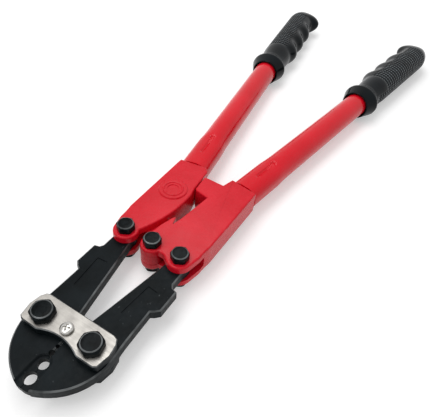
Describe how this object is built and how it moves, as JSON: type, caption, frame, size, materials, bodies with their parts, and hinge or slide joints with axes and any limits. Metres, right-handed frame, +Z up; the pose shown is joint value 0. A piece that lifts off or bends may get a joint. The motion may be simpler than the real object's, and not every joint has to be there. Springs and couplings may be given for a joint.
{
  "type": "bolt cutter style hand crimper",
  "caption": "Long-handled hand tool built like bolt cutters: forged jaws with round nests, link plates, red handles and black moulded grips.",
  "frame": {"origin": "middle of the tool's length, on the line between the two handles, at the height of the surface it lies on", "axes": "+X from the jaws to the grips, +Y towards the left handle, +Z up from the surface the tool lies on"},
  "size_m": [0.5792, 0.1866, 0.0332],
  "materials": {
    "black_jaw": "black oxide on forged steel, satin, ground edges bright",
    "black_fastener": "black oxide, satin",
    "bright_plate": "ground flat top face",
    "zinc_screw": "zinc plated",
    "red_head": "semi-gloss enamel on a drop forging",
    "red_tube": "semi-gloss enamel on steel tube",
    "black_grip": "moulded soft plastic with a fine chequered texture"
  },
  "bodies": {
    "plates": {"link_plate_top": "bright_plate", "link_plate_bottom": "bright_plate", "spacer_sleeve": "black_fastener", "centre_screw": "zinc_screw", "screw_nut": "zinc_screw", "link_bolt_left": "black_fastener", "link_bolt_right": "black_fastener", "link_nut_left": "black_fastener", "link_nut_right": "black_fastener"},
    "jaw_left": {"jaw_left": "black_jaw"},
    "jaw_right": {"jaw_right": "black_jaw"},
    "handle_left": {"handle_head_left": "red_head", "handle_tube_left": "red_tube", "grip_left": "black_grip", "tail_bolt_left": "black_fastener", "tail_nut_left": "black_fastener"},
    "handle_right": {"handle_head_right": "red_head", "handle_tube_right": "red_tube", "grip_right": "black_grip", "tail_bolt_right": "black_fastener", "tail_nut_right": "black_fastener", "centre_bolt": "black_fastener", "centre_nut": "black_fastener"}
  },
  "joints": [
    {"name": "jaw_left_pivot", "type": "hinge", "parent": "plates", "child": "jaw_left", "pos_m": [-0.25364, 0.0186, 0.0166], "axis": [0, 0, 1], "range_deg": [-4.2, 0]},
    {"name": "jaw_right_pivot", "type": "hinge", "parent": "plates", "child": "jaw_right", "pos_m": [-0.25364, -0.0186, 0.0166], "axis": [0, 0, 1], "range_deg": [0, 4.2]},
    {"name": "handle_left_pivot", "type": "hinge", "parent": "jaw_left", "child": "handle_left", "pos_m": [-0.17364, 0.0229, 0.0166], "axis": [0, 0, 1], "range_deg": [0, 49]},
    {"name": "handle_right_pivot", "type": "hinge", "parent": "jaw_right", "child": "handle_right", "pos_m": [-0.17364, -0.0229, 0.0166], "axis": [0, 0, 1], "range_deg": [-49, 0]}
  ],
  "couplings": [
    {"joint": "jaw_left_pivot", "follows": "handle_left_pivot", "ratio": -0.083},
    {"joint": "jaw_right_pivot", "follows": "handle_left_pivot", "ratio": 0.083},
    {"joint": "handle_right_pivot", "follows": "handle_left_pivot", "ratio": -1}
  ]
}
